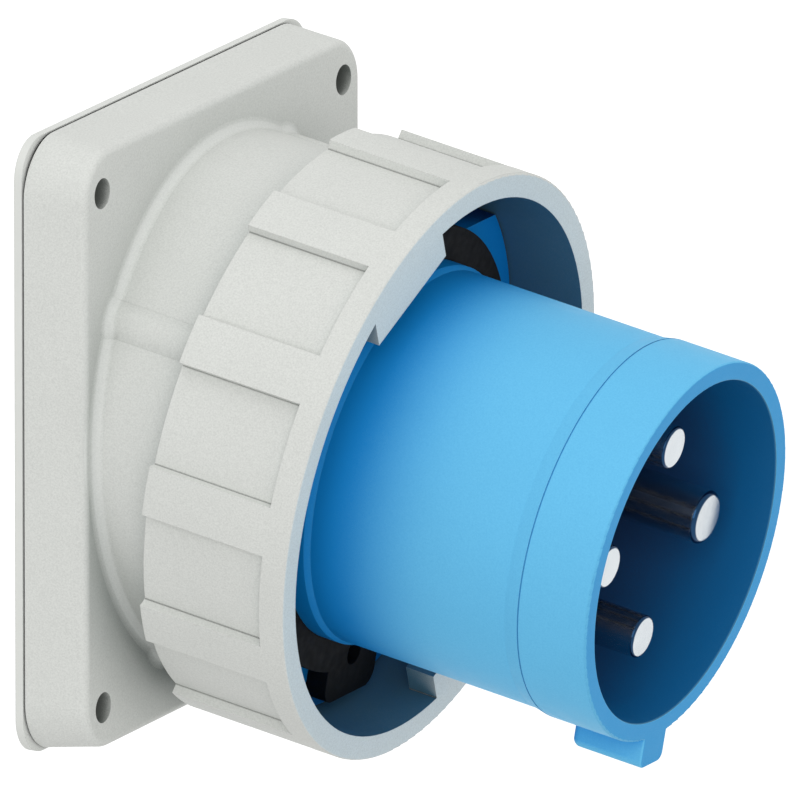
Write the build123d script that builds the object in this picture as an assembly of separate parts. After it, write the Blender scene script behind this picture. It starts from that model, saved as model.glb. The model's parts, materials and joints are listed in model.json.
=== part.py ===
from build123d import *
import math
import os

# Angled pin and sleeve inlet, 63 A, three line contacts and earth, blue. Sizes in millimetres.
# Frame: the XZ plane is the wall, the origin is the middle of the bolt pattern on it, -Y points
# away from the wall and +Z is up. The sleeve leans down by `tilt` from the wall's normal.
# Along the sleeve, "z" sizes count forward from the middle of the flange's front face.

# Sleeve of the blue insert. It sets the ring, the neck and the flange round it.
sleeve_r = 35.5
sleeve_wall = 3.5
sleeve_length = 61.7
base_length = 3.6
base_chamfer = 1.1
waist_step = 0.6
lip_length = 14.1
lip_ramp = 2.9
lip_line_width = 0.25
lip_line_depth = 0.15
mouth_edge = 0.4
floor_depth = 55.7
floor_thickness = 8.0
key_width = 8.2
key_height = 5.5
key_length = 14.5
key_round = 1.6

# Disc and plug of the insert
disc_thickness = 5.4
disc_flat_inset = 0.7
plug_depth = 12.5
core_wall = 2.5
core_skin = 2.8
core_roof = 2.5
core_boss_r = 4.0

# Locking ring, which leaves room for the mating shroud round the sleeve
shroud_space = 14.9
ring_wall = 4.5
ring_reach = 14.9
ring_length = 29.8
ring_edge = 0.4
lip_overlap = 3.0
rib_count = 12
rib_width = 9.3
panel_recess = 1.8
collar_length = 4.9
lug_angles = (120.0, 300.0)
lug_width = 23.9
lug_reach = 7.0
lug_length = 5.7
ring_turn = 45.0
stop_reach = 5.4

# Neck that carries the insert and the locking ring
tilt = 10.0
neck_wall = 3.0
neck_end = 24.5
neck_root_fillet = 2.0
boss_angles = (60.0, 150.0, 240.0, 330.0)
bulge_r = 5.5
bulge_proud = 1.1
boss_r = 5.0
boss_length = 9.0

# Flange of the housing
flange_margin_x = 2.7
flange_margin_z = 7.7
flange_depth = 12.0
flange_draft = 8.5
flange_corner = 8.6
flange_edge = 1.5
flange_wall = 3.0
pocket_corner = 6.0
bolt_edge_x = 6.1
bolt_edge_z = 7.6
bolt_hole_r = 2.8
bolt_boss_wall = 3.6
shadow_gap = 0.4
shadow_depth = 2.0

# Gasket between flange and wall
wall_gasket_depth = 1.55
wall_gasket_corner = 7.2
wall_gasket_band = 5.4
wall_gasket_window_corner = 24.0

# Clearances
running_gap = 0.3
end_float = 0.4
fit_gap = 0.15
thread_gap = 0.05
same_place = 0.01

# Face gasket round the sleeve
gasket_thickness = 4.1
gasket_band = 6.3
gasket_tab_width = 18.0
gasket_tab_inset = 2.7
gasket_tab_corner = 3.0
gasket_hole_r = 2.5
gasket_hole_offset = 3.6
gasket_hole_depth = 4.0

# Seal between plug and neck
seal_section_r = 1.15
seal_groove_width = 3.0
seal_gap = 0.05

# Contacts
pitch_r = 18.2
line_pin_r = 4.0
earth_pin_r = 5.0
line_tip_round = 0.6
earth_tip_round = 1.0
tip_setback = 5.6
pin_root_extra_r = 0.3
collar_extra_r = 4.0
collar_thickness = 4.0
line_barrel_r = 6.5
earth_barrel_r = 7.0
barrel_length = 32.0
pin_gap = 0.1
pin_seal_width = 1.5
pin_seal_thickness = 2.2

# Terminals
wire_bore_r = 4.0
wire_bore_depth = 16.0
clamp_thickness = 0.8
clamp_half_angle = 34.0
clamp_length = 11.5
terminal_screw_r = 2.0
terminal_screw_head_r = 3.1
terminal_screw_head_depth = 2.4
terminal_screw_first = 4.0
terminal_screw_pitch = 7.0
terminal_screw_standoff = 0.6
slot_width = 0.9
slot_depth = 1.1

# Contact carrier and its screws
carrier_thickness = 4.0
partition_thickness = 2.0
partition_head_room = 2.1
partition_length = 26.0
carrier_screw_inset = 6.0
carrier_screw_angles = (45.0, 135.0, 225.0, 315.0)
carrier_screw_r = 1.5
carrier_screw_bite = 7.0
carrier_post_r = 3.2
screw_head_r = 2.9
screw_head_depth = 2.2

# Insert screws
insert_screw_r = 2.0
insert_screw_cover = 0.5
insert_screw_bite = 8.0
insert_screw_head_r = 3.6
insert_screw_head_depth = 2.6
socket_spare = 1.0

# Radii worked out from the sleeve outward
sleeve_bore_r = sleeve_r - sleeve_wall
sleeve_waist_r = sleeve_r - waist_step
ring_bore_r = sleeve_r + shroud_space
ring_r = ring_bore_r + ring_wall
lug_inner_r = ring_bore_r - lug_reach
stop_inner_r = ring_bore_r - stop_reach
disc_r = ring_bore_r - running_gap
neck_r = ring_bore_r - lip_overlap
neck_bore_r = neck_r - neck_wall
plug_r = neck_bore_r - fit_gap
seal_groove_r = neck_bore_r - 2 * (seal_section_r + seal_gap)
core_outer_r = seal_groove_r - core_skin
boss_circle_r = seal_groove_r - insert_screw_cover - insert_screw_r
bulge_centre_r = neck_r + bulge_proud - bulge_r
gasket_r = sleeve_r + gasket_band
gasket_tab_r = disc_r - gasket_tab_inset
gasket_hole_circle_r = sleeve_r + gasket_hole_offset
carrier_r = sleeve_bore_r - running_gap
carrier_screw_circle_r = sleeve_bore_r - carrier_screw_inset
partition_reach = carrier_screw_circle_r - screw_head_r - partition_head_room

# Flange and bolt pattern worked out from the neck
flange_width = 2 * (neck_r + flange_margin_x)
flange_height = 2 * (neck_r + flange_margin_z)
bolt_spacing_x = flange_width - 2 * bolt_edge_x
bolt_spacing_z = flange_height - 2 * bolt_edge_z
overall_depth = flange_depth + wall_gasket_depth
draft_spread = 2 * flange_depth * math.tan(math.radians(flange_draft))
back_width = flange_width + draft_spread
back_height = flange_height + draft_spread
back_corner = flange_corner + draft_spread / 2

# Places along the sleeve
plug_back = neck_end - plug_depth
boss_back = plug_back - boss_length
disc_face = neck_end + disc_thickness
gasket_face = disc_face + gasket_thickness
mouth = gasket_face + sleeve_length
ring_front = disc_face + ring_reach
ring_back = ring_front - ring_length
bulge_end = ring_back - end_float
floor_front = mouth - floor_depth
floor_back = floor_front - floor_thickness
pin_tip = mouth - tip_setback
carrier_front = floor_back - collar_thickness
carrier_back = carrier_front - carrier_thickness
terminal_end = carrier_front - barrel_length

# The disc's flat top, the ring's stop beside it, and a length that runs past the whole part
disc_flat_height = sleeve_r - disc_flat_inset
stop_angle = math.degrees(math.asin((disc_flat_height + running_gap) / stop_inner_r))
past_all = 2 * ring_r

# Frames: one on the wall, looking out, and one at the middle of the flange's front face
wall = Plane(origin=(0, 0, 0), x_dir=(1, 0, 0), z_dir=(0, -1, 0))
axis = (0, -math.cos(math.radians(tilt)), -math.sin(math.radians(tilt)))
tube = Plane(origin=(0, -overall_depth, 0), x_dir=(1, 0, 0), z_dir=axis)

# Contact name: clock position as an angle, pin radius, tip rounding, barrel radius
contacts = {
    "l1": (90.0, line_pin_r, line_tip_round, line_barrel_r),
    "l2": (180.0, line_pin_r, line_tip_round, line_barrel_r),
    "l3": (270.0, line_pin_r, line_tip_round, line_barrel_r),
    "earth": (0.0, earth_pin_r, earth_tip_round, earth_barrel_r),
}


def disc(radius, back, front):
    """A plain cylinder on the local axis, from `back` to `front`."""
    blank = Cylinder(radius, front - back, align=(Align.CENTER, Align.CENTER, Align.MIN))
    return Pos(0, 0, back) * blank


def tube_ring(outer_r, inner_r, back, front):
    """A plain ring on the local axis."""
    return disc(outer_r, back, front) - disc(inner_r, back, front)


def polar(radius, angle):
    """Location at a radius and angle, turned so that its local X points outward."""
    return Rot(0, 0, angle) * Pos(radius, 0, 0)


def slab(length_x, length_y, back, front):
    """A block centred on the local axis."""
    block = Box(length_x, length_y, front - back, align=(Align.CENTER, Align.CENTER, Align.MIN))
    return Pos(0, 0, back) * block


def sector(inner_r, outer_r, start_angle, end_angle, back, front):
    """A ring segment between two angles."""
    reach = 2 * outer_r
    middle = (start_angle + end_angle) / 2
    half = (end_angle - start_angle) / 2
    side = reach * math.tan(math.radians(half))
    wedge = Pos(0, 0, back) * extrude(make_face(Polyline((0, 0), (reach, -side), (reach, side), close=True)),
                                      front - back)
    return tube_ring(outer_r, inner_r, back, front) & (Rot(0, 0, middle) * wedge)


def bolt_circles(radius):
    """Four circles of one radius at the bolt holes."""
    places = GridLocations(bolt_spacing_x, bolt_spacing_z, 2, 2)
    return Sketch() + [place * Circle(radius) for place in places]


def boss_places():
    return [polar(boss_circle_r, angle) for angle in boss_angles]


def make_flange():
    """Drafted flange plate with a rounded front edge, in the wall's frame."""
    back_outline = Pos(0, 0, wall_gasket_depth) * RectangleRounded(back_width, back_height, back_corner)
    plate = extrude(back_outline, flange_depth, taper=flange_draft)
    front_edges = plate.faces().sort_by(Axis.Z)[-1].edges()
    plate = fillet(front_edges, flange_edge)
    groove_outline = (RectangleRounded(back_width + shadow_depth, back_height + shadow_depth, back_corner)
                      - RectangleRounded(back_width - 2 * shadow_depth, back_height - 2 * shadow_depth,
                                         back_corner - shadow_depth))
    return plate - Pos(0, 0, wall_gasket_depth) * extrude(groove_outline, shadow_gap)


def make_flange_pocket():
    """Hollow of the flange, which leaves a boss round each bolt hole."""
    pocket_outline = RectangleRounded(flange_width - 2 * flange_wall, flange_height - 2 * flange_wall,
                                      pocket_corner)
    pocket = pocket_outline - bolt_circles(bolt_hole_r + bolt_boss_wall)
    return Pos(0, 0, wall_gasket_depth) * extrude(pocket, flange_depth - flange_wall)


def make_housing():
    """Flange and leaning neck moulded in one, with screw bosses that bulge through the neck."""
    blank = disc(neck_r, -past_all, neck_end)
    for angle in boss_angles:
        blank += polar(bulge_centre_r, angle) * disc(bulge_r, -past_all, bulge_end)
    in_front = slab(2 * past_all, 2 * past_all, overall_depth - flange_wall, past_all)
    body = wall * make_flange() + (tube * blank & wall * in_front)
    root = [edge for edge in body.edges()
            if abs(edge.center().Y + overall_depth) < same_place
            and max(abs(edge.center().X), abs(edge.center().Z)) < flange_width / 2 - flange_edge
            and edge.length > bulge_r and edge.geom_type != GeomType.CIRCLE]
    body = fillet(root, neck_root_fillet)
    body -= wall * make_flange_pocket()
    body -= tube * disc(neck_bore_r, -past_all, neck_end)
    for angle in boss_angles:
        boss = polar(boss_circle_r, angle) * disc(boss_r, boss_back, plug_back)
        boss += (polar(bulge_centre_r, angle) * disc(bulge_r, boss_back, plug_back)
                 & disc(neck_bore_r + fit_gap, boss_back, plug_back))
        body += tube * boss
        body -= tube * (polar(boss_circle_r, angle) * disc(insert_screw_r + fit_gap, boss_back, plug_back))
    return body - wall * extrude(bolt_circles(bolt_hole_r), overall_depth)


def make_wall_gasket():
    """Flat gasket as large as the flange, with tighter corners and a wide window."""
    outline = RectangleRounded(back_width, back_height, wall_gasket_corner)
    window = RectangleRounded(back_width - 2 * wall_gasket_band, back_height - 2 * wall_gasket_band,
                              wall_gasket_window_corner)
    plate = extrude(outline - window - bolt_circles(bolt_hole_r), wall_gasket_depth)
    return wall * plate


def make_sleeve_blank():
    """Turned outline of the sleeve: base chamfer, waist, and a raised lip behind a fine turned line."""
    base_end = gasket_face + base_length
    lip_start = mouth - lip_length
    line_r = sleeve_r - lip_line_depth
    with BuildSketch(Plane.XZ) as outline:
        with BuildLine():
            Polyline((0, neck_end), (sleeve_r, neck_end), (sleeve_r, base_end),
                     (sleeve_waist_r, base_end + base_chamfer), (sleeve_waist_r, lip_start - lip_ramp),
                     (sleeve_r, lip_start), (line_r, lip_start), (line_r, lip_start + lip_line_width),
                     (sleeve_r, lip_start + lip_line_width), (sleeve_r, mouth), (0, mouth), close=True)
        make_face()
    return revolve(outline.sketch, Axis.Z)


def make_key():
    """Locating key under the mouth, rounded at its foot and at its rear."""
    sunk = (sleeve_r - sleeve_bore_r) / 2
    key = Box(key_width, key_height + sunk, key_length, align=(Align.CENTER, Align.MIN, Align.MAX))
    foot = key.faces().sort_by(Axis.Y)[0]
    rear = key.faces().sort_by(Axis.Z)[0]
    long_edges = foot.edges().filter_by(Axis.Z)
    rear_edges = rear.edges().filter_by(Axis.Y) + foot.edges().filter_by(Axis.X).sort_by(Axis.Z)[:1]
    key = fillet(long_edges + rear_edges, key_round)
    return Pos(0, -sleeve_r - key_height, mouth) * key


def make_insert():
    """Blue moulding: plug in the neck, disc over the ring's lip, sleeve, floor and key."""
    body = disc(plug_r, plug_back, neck_end) + disc(disc_r, neck_end, disc_face)
    above_flat = Pos(0, disc_flat_height + disc_r, 0) * slab(2 * disc_r, 2 * disc_r, neck_end, disc_face)
    body += make_sleeve_blank() + make_key()
    body -= above_flat
    body -= disc(sleeve_bore_r, floor_front, mouth)
    body = fillet(body.faces().sort_by(Axis.Z)[-1].edges(), mouth_edge)
    body -= disc(sleeve_bore_r, plug_back, floor_back)
    groove_middle = (plug_back + neck_end) / 2
    body -= tube_ring(neck_bore_r, seal_groove_r, groove_middle - seal_groove_width / 2,
                      groove_middle + seal_groove_width / 2)
    core = tube_ring(core_outer_r, sleeve_bore_r + core_wall, plug_back, neck_end - core_roof)
    for place in boss_places():
        core -= place * disc(core_boss_r, plug_back, neck_end)
    body -= core
    socket_end = plug_back + insert_screw_bite + socket_spare
    for place in boss_places():
        body -= place * disc(insert_screw_r + thread_gap, plug_back, socket_end)
    for angle in carrier_screw_angles:
        body += polar(carrier_screw_circle_r, angle) * disc(carrier_post_r, carrier_front, floor_back)
        body -= polar(carrier_screw_circle_r, angle) * disc(
            carrier_screw_r + thread_gap, carrier_front, carrier_front + carrier_screw_bite + socket_spare)
    for angle, pin_r, _, _ in contacts.values():
        place = polar(pitch_r, angle)
        hole_r = pin_r + pin_root_extra_r + pin_gap
        body -= place * disc(hole_r, floor_back, floor_front)
        body -= place * disc(hole_r + pin_seal_width, floor_back, floor_back + pin_seal_thickness)
    body -= Pos(0, -gasket_hole_circle_r, 0) * disc(gasket_hole_r, disc_face - gasket_hole_depth, disc_face)
    return tube * body


def make_face_gasket():
    """Gasket round the sleeve, with a rounded tab at six o'clock and a hole above it."""
    tab = Pos(0, -gasket_tab_r / 2) * Rectangle(gasket_tab_width, gasket_tab_r)
    tab = fillet(tab.vertices().sort_by(Axis.Y)[:2], gasket_tab_corner)
    outline = Circle(gasket_r) + tab - Circle(sleeve_r + thread_gap)
    outline -= Pos(0, -gasket_hole_circle_r) * Circle(gasket_hole_r)
    return tube * (Pos(0, 0, disc_face) * extrude(outline, gasket_thickness))


def make_plug_seal():
    """O-ring in the plug's groove."""
    middle = (plug_back + neck_end) / 2
    seal = Torus(neck_bore_r - seal_gap - seal_section_r, seal_section_r)
    return tube * (Pos(0, 0, middle) * seal)


def make_locking_ring():
    """Bayonet ring: ribbed outside, two lugs at the front, trapped lip and turn stop inside."""
    ring = disc(ring_r, ring_back, ring_front)
    panel = tube_ring(ring_r, ring_r - panel_recess, ring_back, ring_front - collar_length)
    for index in range(rib_count):
        rib = Pos(ring_r, 0, 0) * slab(2 * ring_wall, rib_width, ring_back, ring_front)
        panel -= Rot(0, 0, index * 360 / rib_count) * rib
    ring -= panel
    bore = disc(ring_bore_r, neck_end - end_float, ring_front)
    for angle in lug_angles:
        lug = Pos(ring_bore_r, 0, 0) * slab(2 * lug_reach, lug_width,
                                            ring_front - lug_length, ring_front)
        lug &= tube_ring(ring_r, lug_inner_r, ring_front - lug_length, ring_front)
        bore -= Rot(0, 0, angle) * lug
    bore -= sector(stop_inner_r, ring_r, stop_angle + ring_turn, 180 - stop_angle,
                   neck_end + end_float, disc_face - end_float)
    ring -= bore
    ring -= disc(neck_r + running_gap, ring_back, neck_end)
    rims = [edge for edge in ring.edges().filter_by(GeomType.CIRCLE)
            if abs(edge.radius - ring_r) < same_place and edge.center().Z > ring_front - same_place]
    return tube * fillet(rims, ring_edge)


def make_contact(pin_r, tip_round, barrel_r):
    """Turned contact on its own axis: pin, root in the floor, collar and bored terminal barrel."""
    pin = disc(pin_r, floor_back, pin_tip)
    pin = fillet(pin.edges().sort_by(Axis.Z)[-1], tip_round)
    body = pin + disc(pin_r + pin_root_extra_r, floor_back, floor_front)
    body += disc(pin_r + collar_extra_r, carrier_front, floor_back)
    body += disc(barrel_r, terminal_end, carrier_front)
    body -= disc(wire_bore_r, terminal_end, terminal_end + wire_bore_depth)
    for height in terminal_screw_heights():
        body -= Pos(0, 0, height) * (Rot(0, 90, 0) * disc(terminal_screw_r + thread_gap, 0, 2 * barrel_r))
    return body


def terminal_screw_heights():
    first = terminal_end + terminal_screw_first
    return (first, first + terminal_screw_pitch)


def make_wire_clamp():
    """Curved pressure plate against the outward side of a terminal's bore."""
    outer_r = wire_bore_r - thread_gap
    middle = terminal_end + terminal_screw_first + terminal_screw_pitch / 2
    return sector(outer_r - clamp_thickness, outer_r, -clamp_half_angle, clamp_half_angle,
                  middle - clamp_length / 2, middle + clamp_length / 2)


def make_screw(shank_r, shank_length, head_r, head_depth):
    """Slotted cheese-head screw. The head's seat is at the origin and the shank points to +Z."""
    screw = disc(shank_r, 0, shank_length) + disc(head_r, -head_depth, 0)
    slot = Pos(0, 0, -head_depth) * slab(2 * head_r + fit_gap, slot_width, 0, slot_depth)
    return screw - slot


def make_terminal_screws():
    """Two screws on every terminal, driven inward onto the pressure plate."""
    screws = []
    for angle, _, _, barrel_r in contacts.values():
        seat = barrel_r + terminal_screw_standoff
        screw = make_screw(terminal_screw_r, seat - wire_bore_r, terminal_screw_head_r,
                           terminal_screw_head_depth)
        for height in terminal_screw_heights():
            screws.append(tube * (polar(pitch_r, angle) * Pos(seat, 0, height) * (Rot(0, -90, 0) * screw)))
    return Compound(screws)


def make_carrier():
    """Plate that holds the contacts' collars to the floor, with a cross of walls between terminals."""
    body = disc(carrier_r, carrier_back, carrier_front)
    for angle in carrier_screw_angles:
        wall_piece = Pos(partition_reach / 2, 0, 0) * slab(
            partition_reach, partition_thickness, carrier_back - partition_length, carrier_back)
        body += Rot(0, 0, angle) * wall_piece
        screw_hole = disc(carrier_screw_r + fit_gap, carrier_back, carrier_front)
        body -= polar(carrier_screw_circle_r, angle) * screw_hole
    for angle, _, _, barrel_r in contacts.values():
        body -= polar(pitch_r, angle) * disc(barrel_r + fit_gap, carrier_back, carrier_front)
    return tube * body


def make_carrier_screws():
    screw = make_screw(carrier_screw_r, carrier_thickness + carrier_screw_bite, screw_head_r,
                       screw_head_depth)
    return Compound([tube * (polar(carrier_screw_circle_r, angle) * Pos(0, 0, carrier_back) * screw)
                     for angle in carrier_screw_angles])


def make_insert_screws():
    screw = make_screw(insert_screw_r, boss_length + insert_screw_bite, insert_screw_head_r,
                       insert_screw_head_depth)
    return Compound([tube * (place * Pos(0, 0, boss_back) * screw) for place in boss_places()])


def make_pin_seal(pin_r):
    """Flat ring in the floor's counterbore, behind which the contact's collar seats."""
    root_r = pin_r + pin_root_extra_r
    outer_r = root_r + pin_gap + pin_seal_width - thread_gap
    return tube_ring(outer_r, root_r + thread_gap, floor_back, floor_back + pin_seal_thickness - thread_gap)


def build_parts():
    """Every piece by its node name."""
    parts = {
        "flange_housing": make_housing(),
        "wall_gasket": make_wall_gasket(),
        "pin_sleeve": make_insert(),
        "face_gasket": make_face_gasket(),
        "plug_seal": make_plug_seal(),
        "locking_ring": make_locking_ring(),
        "contact_carrier": make_carrier(),
        "carrier_screws": make_carrier_screws(),
        "insert_screws": make_insert_screws(),
        "terminal_screws": make_terminal_screws(),
    }
    for name, (angle, pin_r, tip_round, barrel_r) in contacts.items():
        place = polar(pitch_r, angle)
        parts["contact_" + name] = tube * (place * make_contact(pin_r, tip_round, barrel_r))
        parts["pin_seal_" + name] = tube * (place * make_pin_seal(pin_r))
        parts["wire_clamp_" + name] = tube * (place * make_wire_clamp())
    return parts


os.makedirs("parts", exist_ok=True)
for node, shape in build_parts().items():
    export_step(shape, f"parts/{node}.step")
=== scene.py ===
import json
import math
import bpy
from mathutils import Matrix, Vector


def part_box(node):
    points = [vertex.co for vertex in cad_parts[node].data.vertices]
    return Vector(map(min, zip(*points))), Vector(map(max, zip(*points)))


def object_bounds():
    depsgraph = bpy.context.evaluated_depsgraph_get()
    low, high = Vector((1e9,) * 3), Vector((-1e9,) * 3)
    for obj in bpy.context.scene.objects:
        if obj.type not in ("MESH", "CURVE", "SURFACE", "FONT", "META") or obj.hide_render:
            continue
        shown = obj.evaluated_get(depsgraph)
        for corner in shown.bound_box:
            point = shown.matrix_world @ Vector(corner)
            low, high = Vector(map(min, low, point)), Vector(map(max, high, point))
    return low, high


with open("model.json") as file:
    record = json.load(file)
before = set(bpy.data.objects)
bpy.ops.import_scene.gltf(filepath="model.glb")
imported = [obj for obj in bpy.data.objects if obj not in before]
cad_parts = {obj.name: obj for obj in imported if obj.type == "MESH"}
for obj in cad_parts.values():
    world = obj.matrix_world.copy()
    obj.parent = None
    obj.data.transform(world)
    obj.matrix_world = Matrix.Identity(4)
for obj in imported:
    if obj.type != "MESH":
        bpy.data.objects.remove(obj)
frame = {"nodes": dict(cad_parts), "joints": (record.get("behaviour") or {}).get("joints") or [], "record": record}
cad_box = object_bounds()
nodes = frame["nodes"]
mm = 0.001

# Frame: the wall is the XZ plane and -Y points out of it. The sleeve leans down by the angle of
# the ring's joint axis, and the camera looks from the left, the front and a little above.
ring_joint = frame["joints"][0]
tube_back = Vector(ring_joint["axis"])
tube_start = Vector(ring_joint["pos_m"])
tube_tilt = math.atan2(tube_back.z, tube_back.y)

# Camera: a long lens, since the picture has almost no perspective
picture_width = 143.09 * mm
view_azimuth = 299.05
view_elevation = 15.72
lens_mm = 1700.0
sensor_mm = 36.0
aim_right = 31.49 * mm
aim_up = -1.32 * mm

# Light: mostly an even white surround, with soft square lamps that give the forms their shading
white = (1.0, 1.0, 1.0)
surround_strength = 0.83
lamp_size = 0.9
left_lamp_place = (-1.26, -0.7, 0.4)
left_lamp_power = 5.4
top_lamp_place = (-0.25, -0.1, 1.5)
top_lamp_power = 3.6

# Floor: pale, and lifted to white where the camera or a reflection sees it unshaded
floor_drop = 600 * mm
floor_radius = 8.0
floor_steps = 96
floor_tone = (0.77, 0.77, 0.77)
floor_lift = 0.5

# How far a surface looks for the open sky in deep hollows, where shade is painted
far = 90 * mm

# The gap between the flange and the plate behind it lies just in front of the plate. The shadow painted in it
# widens at the top of the flange
plate_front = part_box("wall_gasket")[0].y
flange_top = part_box("flange_housing")[1].z
gap_shadow_width = 0.4 * mm
gap_shadow_top_width = 0.6 * mm
gap_shadow_grows = flange_top - 9 * mm
gap_shadow_grown = flange_top - 1.5 * mm

# Moulded plastic: its lumps, grain and rounding, the reach of its painted crease shade and the width of its
# painted edge highlights. The gloss is low, since the white surround shows in it
cloud_size = 24 * mm
speck_size = 0.33 * mm
grain_size = 0.28 * mm
grain_depth = 0.02 * mm
mould_crease_shade = 0.35 * mm
mould_edge_highlight = 0.12 * mm
mould_rounding = 0.14 * mm
mould_gloss = 0.04

# The sleeve's bore, with a little over for its mouth's edge
bore_radius = 32.15 * mm

# The ring's bore, with a little over
ring_bore_radius = 50.6 * mm

# A little over the neck and the fillet at its root
root_radius = 49.9 * mm


def from_srgb(red, green, blue):
    """Linear colour from display values of 0 to 255."""
    def linear(value):
        share = value / 255
        return share / 12.92 if share <= 0.04045 else ((share + 0.055) / 1.055) ** 2.4
    return (linear(red), linear(green), linear(blue))


class Graph:
    """One material's node tree, with short calls to add and join nodes."""

    def __init__(self, name):
        self.material = bpy.data.materials.new(name)
        self.material.use_nodes = True
        self.tree = self.material.node_tree
        self.tree.nodes.clear()
        self.output = self.tree.nodes.new("ShaderNodeOutputMaterial")

    def add(self, kind, properties=None, **inputs):
        """A node of one kind. An input's name has _ for a space, and its value may be a socket."""
        node = self.tree.nodes.new("ShaderNode" + kind)
        for name, value in (properties or {}).items():
            setattr(node, name, value)
        for name, value in inputs.items():
            self.feed(node.inputs[name.replace("_", " ")], value)
        return node

    def feed(self, socket, value):
        """Links a socket to an input, or sets the input's own value."""
        if isinstance(value, bpy.types.NodeSocket):
            self.tree.links.new(value, socket)
        elif socket.type == "RGBA":
            socket.default_value = (*value, 1.0)
        else:
            socket.default_value = value

    def sum(self, operation, first, second):
        """Two values joined by one Math operation, clamped to 0 to 1."""
        node = self.add("Math", {"operation": operation, "use_clamp": True})
        self.feed(node.inputs[0], first)
        self.feed(node.inputs[1], second)
        return node.outputs[0]

    def spread(self, value, from_low, from_high, to_low, to_high):
        """The value's range mapped onto another, clamped."""
        node = self.add("MapRange", {"clamp": True}, Value=value, From_Min=from_low, From_Max=from_high,
                        To_Min=to_low, To_Max=to_high)
        return node.outputs["Result"]

    def blend(self, share, first, second, mode="MIX"):
        """The first colour, with that share of the second mixed or multiplied in."""
        node = self.add("Mix", {"data_type": "RGBA", "blend_type": mode})
        self.feed(node.inputs["Factor"], share)
        self.feed(node.inputs[6], first)
        self.feed(node.inputs[7], second)
        return node.outputs[2]

    def place(self):
        """Object coordinates turned so that Z runs along the sleeve."""
        where = self.add("TexCoord").outputs["Object"]
        turn = self.add("Mapping", {"vector_type": "TEXTURE"}, Vector=where, Location=tube_start,
                        Rotation=(tube_tilt + math.pi / 2, 0.0, 0.0))
        return turn.outputs["Vector"]

    def noise(self, size, detail=2.0, roughness=0.5):
        """Noise whose lumps are about that size, in metres."""
        node = self.add("TexNoise", Vector=self.place(), Scale=1 / size, Detail=detail, Roughness=roughness)
        return node.outputs["Fac"]

    def bevel(self, radius):
        """A normal that rounds edges off by the radius."""
        return self.add("Bevel", {"samples": 6}, Radius=radius).outputs["Normal"]

    def edges(self, radius):
        """1 on edges narrower than the radius, 0 on flat faces."""
        flat = self.add("NewGeometry").outputs["Normal"]
        turned = self.add("VectorMath", {"operation": "DOT_PRODUCT"})
        self.feed(turned.inputs[0], flat)
        self.feed(turned.inputs[1], self.bevel(radius))
        return self.spread(turned.outputs["Value"], 0.995, 0.85, 0.0, 1.0)

    def open_sky(self, reach):
        """1 on open surfaces, towards 0 in creases and hollows narrower than the reach."""
        node = self.add("AmbientOcclusion", {"samples": 8}, Distance=reach)
        return node.outputs["AO"]

    def hollow(self, reach, begins, full):
        """0 on open surfaces, 1 where the view of the sky within the reach is down to `full`."""
        return self.spread(self.open_sky(reach), full, begins, 1.0, 0.0)

    def inside(self, radius):
        """1 nearer to the sleeve's axis than the radius, 0 elsewhere."""
        flat = self.add("VectorMath", {"operation": "MULTIPLY"})
        self.feed(flat.inputs[0], self.place())
        flat.inputs[1].default_value = (1.0, 1.0, 0.0)
        reach = self.add("VectorMath", {"operation": "LENGTH"})
        self.feed(reach.inputs[0], flat.outputs["Vector"])
        return self.sum("LESS_THAN", reach.outputs["Value"], radius)

    def facing(self):
        """1 on faces square to the sleeve's axis, 0 on faces along it, between them on fillets."""
        node = self.add("VectorMath", {"operation": "DOT_PRODUCT"})
        self.feed(node.inputs[0], self.add("TexCoord").outputs["Normal"])
        node.inputs[1].default_value = tube_back
        return self.sum("ABSOLUTE", node.outputs["Value"], 0.0)

    def fillet(self, side, end):
        """1 on fillets between faces along the axis and faces square to it, 0 on both."""
        off_side = self.spread(self.facing(), side, side + 0.15, 0.0, 1.0)
        off_end = self.spread(self.facing(), end, end + 0.07, 1.0, 0.0)
        return self.sum("MULTIPLY", off_side, off_end)

    def round_axis(self):
        """The direction of lathe lines: round the sleeve's axis, and sideways on square faces."""
        node = self.add("VectorMath", {"operation": "CROSS_PRODUCT"})
        self.feed(node.inputs[0], self.add("TexCoord").outputs["Normal"])
        node.inputs[1].default_value = tube_back
        firm = self.add("VectorMath", {"operation": "ADD"})
        self.feed(firm.inputs[0], node.outputs["Vector"])
        firm.inputs[1].default_value = (0.01, 0.0, 0.0)
        return firm.outputs["Vector"]

    def seam(self):
        """1 in the gap in front of the wall plate, where shadow is painted, 0 elsewhere."""
        where = self.add("SeparateXYZ", Vector=self.add("TexCoord").outputs["Object"])
        width = self.spread(where.outputs["Z"], gap_shadow_grows, gap_shadow_grown, gap_shadow_width, gap_shadow_top_width)
        to_plate = self.sum("SUBTRACT", plate_front, where.outputs["Y"])
        return self.sum("LESS_THAN", to_plate, width)

    def bump(self, height, distance, strength, normal=None):
        """A normal for fine relief of that height, on top of another normal if one is given."""
        inputs = {"Height": height, "Distance": distance, "Strength": strength}
        if normal is not None:
            inputs["Normal"] = normal
        return self.add("Bump", **inputs).outputs["Normal"]

    def finish(self, **inputs):
        """The shader, with uniform values straight on its sockets."""
        shader = self.add("BsdfPrincipled", **inputs)
        self.tree.links.new(shader.outputs["BSDF"], self.output.inputs["Surface"])
        return self.material


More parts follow.
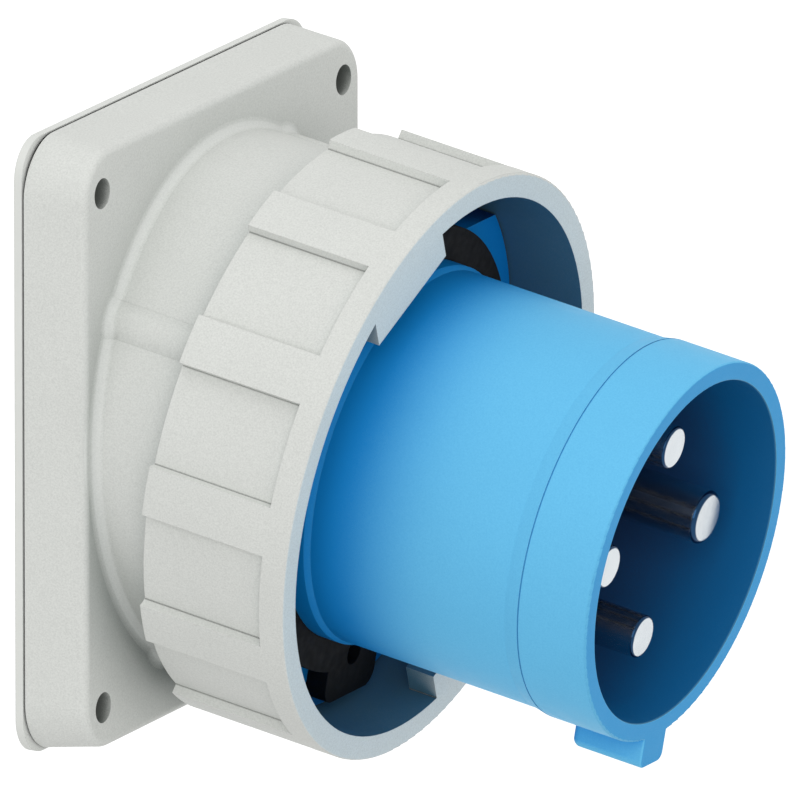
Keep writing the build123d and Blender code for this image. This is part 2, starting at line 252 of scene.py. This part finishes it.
def moulded_plastic(name, colour, shade, highlight_colour, roughness, hollow_shades, ends=white, bore=None, seam=False):
    """Moulded polyamide: fine sparked grain, slow change of tone, lit edges, dim creases and hollows.

    The rows of hollows hold painted shade: reach, the sky's share where the shade begins and where it is full,
    the shade's colour, how much of it shows at most, and the radius about the axis that it stays within, or None.
    The ends colour paints light on the ring's faces square to the axis and shade on the sleeve's, and the bore
    colour paints shade inside the sleeve.
    The gap flag paints shadow in the gap at the wall plate and a highlight on the neck's root.
    """
    graph = Graph(name)
    cloudy = graph.spread(graph.noise(cloud_size, 3.0), 0.3, 0.7, 0.0, 1.0)
    tone = graph.blend(cloudy, colour, tuple(c * 0.97 for c in colour))
    speck = graph.spread(graph.noise(speck_size, 2.0, 0.7), 0.35, 0.7, 0.0, 0.18)
    tone = graph.blend(speck, tone, shade)
    # Painted light on faces square to the axis: lighter and bluer on the ring, darker on the sleeve
    tone = graph.blend(graph.spread(graph.facing(), 0.8, 0.95, 0.0, 1.0), tone,
                       graph.blend(1.0, tone, ends, "MULTIPLY"))
    # Painted shade in hollows, deeper as the view of the sky closes
    for reach, begins, full, tint, share, within in hollow_shades:
        depth = graph.sum("MULTIPLY", graph.hollow(reach, begins, full), share)
        if within:
            depth = graph.sum("MULTIPLY", depth, graph.inside(within))
        tone = graph.blend(depth, tone, tint)
    # Painted shade inside the sleeve's bore, going navy where it is most closed in
    if bore:
        inside = graph.inside(bore_radius)
        tone = graph.blend(inside, tone, bore, "MULTIPLY")
        depth = graph.sum("MULTIPLY", inside, graph.hollow(far, 0.36, 0.1))
        tone = graph.blend(depth, tone, bore_navy_shade)
    # Painted highlight on the fillet at the neck's root
    if seam:
        root_highlight = graph.sum("MULTIPLY", graph.fillet(0.15, 0.83), graph.inside(root_radius))
        tone = graph.blend(graph.sum("MULTIPLY", root_highlight, 0.22), tone, highlight_colour)
    # Painted shade in creases
    crease_shade = graph.spread(graph.open_sky(mould_crease_shade), 0.55, 0.97, 0.9, 0.0)
    tone = graph.blend(crease_shade, tone, shade)
    # Painted highlights along edges
    tone = graph.blend(graph.sum("MULTIPLY", graph.edges(mould_edge_highlight), 0.4), tone, highlight_colour)
    # Painted shadow in the gap in front of the wall plate
    if seam:
        tone = graph.blend(graph.seam(), tone, painted_shadow_black)
    rough = graph.spread(graph.noise(3 * mm, 4.0), 0.3, 0.7, roughness - 0.04, roughness + 0.05)
    rounded = graph.bevel(mould_rounding)
    grain = graph.bump(graph.noise(grain_size, 3.0, 0.6), grain_depth, 0.45, rounded)
    return graph.finish(Base_Color=tone, Roughness=rough, Normal=grain, Specular_IOR_Level=mould_gloss)


def elastomer(name, colour, dust_and_edge_highlight, roughness, mottled, crease_reach):
    """Moulded rubber: matt, faintly mottled, with painted highlights on its edges and painted shade in its
    creases.
    """
    graph = Graph(name)
    mottle = graph.spread(graph.noise(5 * mm, 5.0, 0.6), 0.35, 0.75, 0.0, mottled)
    tone = graph.blend(mottle, colour, dust_and_edge_highlight)
    # Painted highlights along edges
    tone = graph.blend(graph.sum("MULTIPLY", graph.edges(0.3 * mm), 0.5), tone, dust_and_edge_highlight)
    # Painted shade in creases
    crease_shade = graph.spread(graph.open_sky(crease_reach), 0.3, 0.95, 0.85, 0.0)
    tone = graph.blend(crease_shade, tone, painted_shadow_black)
    rough = graph.spread(graph.noise(2 * mm, 3.0), 0.3, 0.7, roughness - 0.06, roughness + 0.08)
    rounded = graph.bevel(0.25 * mm)
    skin = graph.bump(graph.noise(0.5 * mm, 4.0, 0.6), 0.03 * mm, 0.4, rounded)
    return graph.finish(Base_Color=tone, Roughness=rough, Normal=skin, Specular_IOR_Level=0.1)


def turned_metal(name, colour, roughness, line_pitch, line_depth, stretch, rounding_reflection=None):
    """Plated turned metal: faint lathe lines round the axis, which stretch what it reflects along
    the axis, and a soft unevenness of the plating. The rounding colour is a painted reflection of the blue sleeve
    on the rounded ends' edges."""
    graph = Graph(name)
    patches = graph.spread(graph.noise(3.5 * mm, 4.0, 0.6), 0.3, 0.75, 0.0, 1.0)
    tone = graph.blend(patches, colour, tuple(c * 0.93 for c in colour))
    # Painted reflection of the blue sleeve on the rounded ends' edges
    if rounding_reflection:
        tone = graph.blend(graph.fillet(0.1, 0.92), tone, rounding_reflection)
    lines = graph.add("TexWave", {"bands_direction": "Z"}, Vector=graph.place(), Scale=0.31 / line_pitch,
                      Distortion=1.5, Detail=2.0, Detail_Scale=3.0).outputs["Fac"]
    rough = graph.spread(graph.noise(1.2 * mm, 5.0, 0.65), 0.3, 0.75, roughness, roughness + 0.07)
    surface = graph.bump(lines, line_depth, 0.25)
    return graph.finish(Base_Color=tone, Roughness=rough, Normal=surface, Metallic=1.0, Anisotropic=stretch,
                        Anisotropic_Rotation=0.25, Tangent=graph.round_axis())


# Colours
light_grey = from_srgb(217, 219, 215)
grey_shade = from_srgb(92, 96, 92)
# Painted highlight on the grey plastic's edges
grey_highlight = from_srgb(236, 238, 235)
# Painted shade in the grey plastic's hollows and bolt holes
grey_dim_shade = from_srgb(148, 153, 147)
grey_deep_shade = from_srgb(70, 77, 79)
grey_hole_shade = from_srgb(108, 112, 108)
# Painted shade inside the ring's bore, tinted teal
ring_deep_shade = from_srgb(50, 106, 130)
# Painted light on the ring's end faces, lighter and bluer
ring_end_light = (1.0, 1.07, 1.13)
signal_blue = from_srgb(107, 192, 234)
blue_shade = from_srgb(50, 140, 200)
# Painted highlight on the blue plastic's edges
blue_highlight = from_srgb(134, 208, 244)
# Painted shade in the blue plastic's hollows
blue_deep_shade = from_srgb(26, 142, 220)
blue_dark_shade = from_srgb(10, 136, 212)
blue_navy_shade = from_srgb(24, 58, 120)
# Painted shade on the sleeve's end faces
blue_end_shade = (0.45, 0.7, 0.88)
# Painted shade inside the sleeve's bore
bore_shade = (0.6, 0.47, 0.47)
bore_navy_shade = from_srgb(44, 64, 104)
plate_grey = from_srgb(215, 217, 213)
# Dust, and painted highlight on the edges, of the grey rubber
plate_dust_and_highlight = from_srgb(226, 228, 224)
rubber_black = from_srgb(6, 9, 13)
# Dust, and painted highlight on the edges, of the black rubber
rubber_dust_and_highlight = from_srgb(24, 28, 33)
carrier_black = from_srgb(42, 43, 46)
carrier_shade = from_srgb(16, 17, 19)
# Painted highlight on the carrier's edges
carrier_highlight = from_srgb(84, 86, 90)
# Painted shadow in the gap at the wall plate and in rubber creases
painted_shadow_black = from_srgb(12, 13, 13)
nickel = from_srgb(206, 212, 216)
# Painted reflection of the blue sleeve on the contacts' rounded ends
nickel_round_reflection = from_srgb(34, 62, 92)
zinc = from_srgb(178, 181, 184)


def dress():
    """Gives every solid the finish of its material slot."""
    # Rows of painted shade in hollows, for each plastic
    housing_hollow_shades = [(far, 0.42, 0.14, grey_deep_shade, 0.85, None),
                       (20 * mm, 0.82, 0.42, grey_dim_shade, 0.4, None),
                       (6 * mm, 0.58, 0.48, grey_hole_shade, 1.0, None)]
    ring_hollow_shades = [(far, 0.68, 0.26, ring_deep_shade, 0.92, ring_bore_radius)]
    blue_hollow_shades = [(far, 0.89, 0.48, blue_deep_shade, 1.0, None),
                    (far, 0.42, 0.17, blue_dark_shade, 1.0, None),
                    (8 * mm, 0.42, 0.26, blue_navy_shade, 0.9, None)]
    carrier_hollow_shades = [(far, 0.4, 0.1, carrier_shade, 0.6, None)]
    finishes = {
        "housing_grey": moulded_plastic("housing_grey_moulded", light_grey, grey_shade, grey_highlight, 0.5,
                                        housing_hollow_shades, seam=True),
        "ring_grey": moulded_plastic("ring_grey_moulded", light_grey, grey_shade, grey_highlight, 0.5,
                                     ring_hollow_shades, ends=ring_end_light),
        "gasket_grey": elastomer("gasket_grey_rubber", plate_grey, plate_dust_and_highlight, 0.6, 0.3, 0.4 * mm),
        "insert_blue": moulded_plastic("insert_blue_moulded", signal_blue, blue_shade, blue_highlight, 0.42,
                                       blue_hollow_shades, ends=blue_end_shade, bore=bore_shade),
        "seal_black": elastomer("seal_black_rubber", rubber_black, rubber_dust_and_highlight, 0.66, 0.2, 1.6 * mm),
        "carrier_black": moulded_plastic("carrier_black_moulded", carrier_black, carrier_shade, carrier_highlight,
                                         0.48, carrier_hollow_shades),
        "contact_nickel": turned_metal("contact_nickel_plated", nickel, 0.15, 0.18 * mm, 0.0012 * mm, 0.85,
                                       rounding_reflection=nickel_round_reflection),
        "screw_steel": turned_metal("screw_steel_zinc", zinc, 0.32, 0.25 * mm, 0.004 * mm, 0.5),
    }
    for row in frame["record"]["subparts"]:
        node = nodes[row["node"]]
        node.data.materials.clear()
        node.data.materials.append(finishes[row["material_slot"]])


def set_camera():
    """The camera at the photograph's viewing angle and scale."""
    azimuth = math.radians(view_azimuth)
    elevation = math.radians(view_elevation)
    back = Vector((math.sin(azimuth) * math.cos(elevation), -math.cos(azimuth) * math.cos(elevation),
                   math.sin(elevation)))
    turn = (-back).to_track_quat("-Z", "Y")
    aim = tube_start + turn @ Vector((aim_right, aim_up, 0.0))
    lens = bpy.data.cameras.new("photo_camera")
    lens.lens = lens_mm
    lens.sensor_width = sensor_mm
    distance = picture_width * lens_mm / sensor_mm
    lens.clip_start = distance / 10
    lens.clip_end = distance * 10
    camera = bpy.data.objects.new("photo_camera", lens)
    camera.rotation_mode = "QUATERNION"
    camera.rotation_quaternion = turn
    camera.location = aim + back * distance
    bpy.context.scene.collection.objects.link(camera)
    bpy.context.scene.camera = camera


def set_surround():
    """White to the camera, in reflections and through glass; an even soft light for the rest."""
    world = bpy.data.worlds.new("surround")
    world.use_nodes = True
    tree = world.node_tree
    tree.nodes.clear()
    path = tree.nodes.new("ShaderNodeLightPath")
    seen = tree.nodes.new("ShaderNodeMath")
    seen.operation = "MAXIMUM"
    tree.links.new(path.outputs["Is Camera Ray"], seen.inputs[0])
    tree.links.new(path.outputs["Is Transmission Ray"], seen.inputs[1])
    seen_or_glossy = tree.nodes.new("ShaderNodeMath")
    seen_or_glossy.operation = "MAXIMUM"
    tree.links.new(seen.outputs[0], seen_or_glossy.inputs[0])
    tree.links.new(path.outputs["Is Glossy Ray"], seen_or_glossy.inputs[1])
    soft = tree.nodes.new("ShaderNodeBackground")
    soft.inputs["Color"].default_value = (*white, 1.0)
    soft.inputs["Strength"].default_value = surround_strength
    bright = tree.nodes.new("ShaderNodeBackground")
    bright.inputs["Color"].default_value = (*white, 1.0)
    bright.inputs["Strength"].default_value = 1.0
    mix = tree.nodes.new("ShaderNodeMixShader")
    tree.links.new(seen_or_glossy.outputs[0], mix.inputs[0])
    tree.links.new(soft.outputs[0], mix.inputs[1])
    tree.links.new(bright.outputs[0], mix.inputs[2])
    output = tree.nodes.new("ShaderNodeOutputWorld")
    tree.links.new(mix.outputs[0], output.inputs["Surface"])
    bpy.context.scene.world = world


def add_lamp(name, place, power):
    """A square soft lamp aimed at the middle of the part."""
    lamp = bpy.data.lights.new(name, "AREA")
    lamp.size = lamp_size
    lamp.energy = power
    lamp.color = white
    holder = bpy.data.objects.new(name, lamp)
    holder.location = place
    holder.rotation_mode = "QUATERNION"
    holder.rotation_quaternion = (tube_start - Vector(place)).to_track_quat("-Z", "Y")
    bpy.context.scene.collection.objects.link(holder)


def add_floor():
    """A round pale floor below the part. The camera sees it as white, apart from the part's shadow."""
    graph = Graph("pale_floor")
    path = graph.add("LightPath")
    seen = graph.sum("MAXIMUM", path.outputs["Is Camera Ray"], path.outputs["Is Glossy Ray"])
    seen = graph.sum("MAXIMUM", seen, path.outputs["Is Transmission Ray"])
    pale = graph.add("BsdfDiffuse", Color=floor_tone)
    lift = graph.add("Emission", Color=white, Strength=graph.sum("MULTIPLY", seen, floor_lift))
    both = graph.add("AddShader")
    graph.tree.links.new(pale.outputs[0], both.inputs[0])
    graph.tree.links.new(lift.outputs[0], both.inputs[1])
    graph.tree.links.new(both.outputs[0], graph.output.inputs["Surface"])
    height = cad_box[0].z - floor_drop
    turns = [2 * math.pi * step / floor_steps for step in range(floor_steps)]
    corners = [(floor_radius * math.cos(turn), floor_radius * math.sin(turn), height) for turn in turns]
    mesh = bpy.data.meshes.new("floor")
    mesh.from_pydata(corners, [], [list(range(floor_steps))])
    mesh.materials.append(graph.material)
    floor = bpy.data.objects.new("floor", mesh)
    bpy.context.scene.collection.objects.link(floor)


dress()
set_camera()
set_surround()
add_lamp("left_lamp", left_lamp_place, left_lamp_power)
add_lamp("top_lamp", top_lamp_place, top_lamp_power)
add_floor()

bpy.context.scene.view_settings.view_transform = "Standard"
